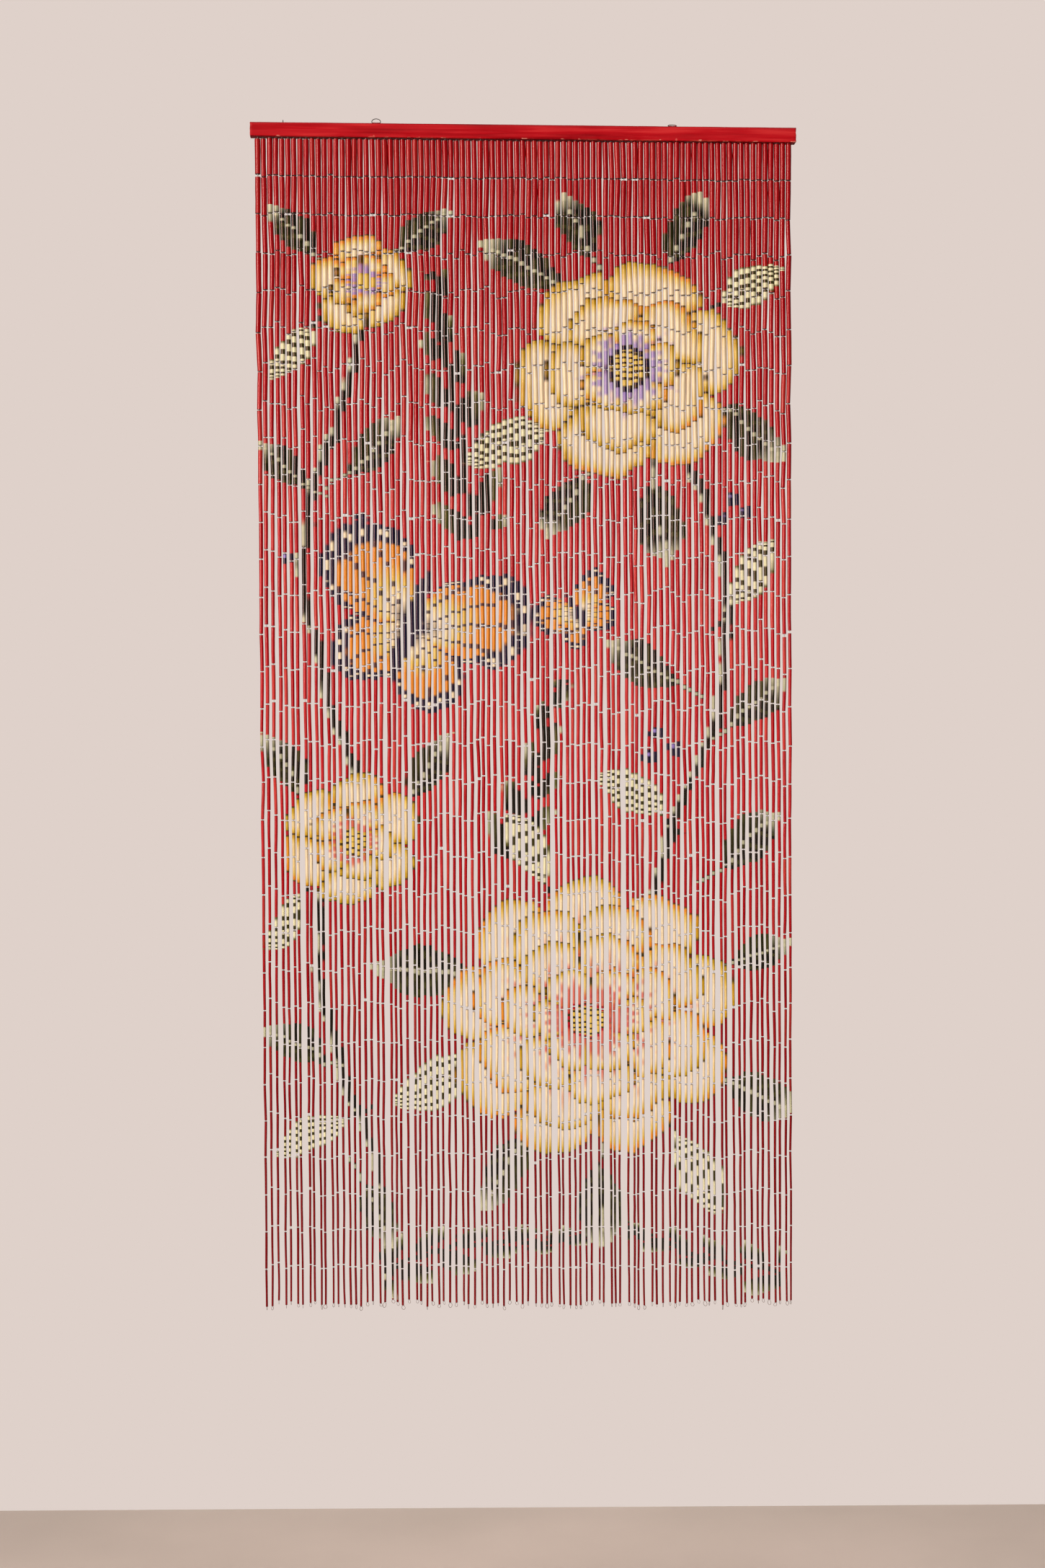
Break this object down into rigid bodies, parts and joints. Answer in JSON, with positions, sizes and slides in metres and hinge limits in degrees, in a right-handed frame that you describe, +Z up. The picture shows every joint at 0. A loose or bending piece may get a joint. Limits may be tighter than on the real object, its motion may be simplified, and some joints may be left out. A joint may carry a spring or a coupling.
{
  "type": "bamboo bead blind with header bar",
  "caption": "Door blind of painted bamboo tubes threaded on wire strands, hung side by side from a red wooden header bar with wire hanging loops.",
  "frame": {"origin": "centre of the header bar's back face, which lies against the wall", "axes": "+Y into the wall, +X along the bar to the right as seen from the front, +Z up"},
  "size_m": [0.9, 0.018, 1.9789],
  "materials": {
    "bar_paint": "brushed red gloss paint over sawn wood",
    "bamboo_paint": "glossy red paint with a painted design on bamboo tubes",
    "dark_wire": "dull dark iron wire"
  },
  "bodies": {
    "root": {"header_bar": "bar_paint", "strands": "bamboo_paint", "hanger_loop_left": "dark_wire", "hanger_loop_right": "dark_wire", "nail_stub": "dark_wire"}
  },
  "joints": []
}
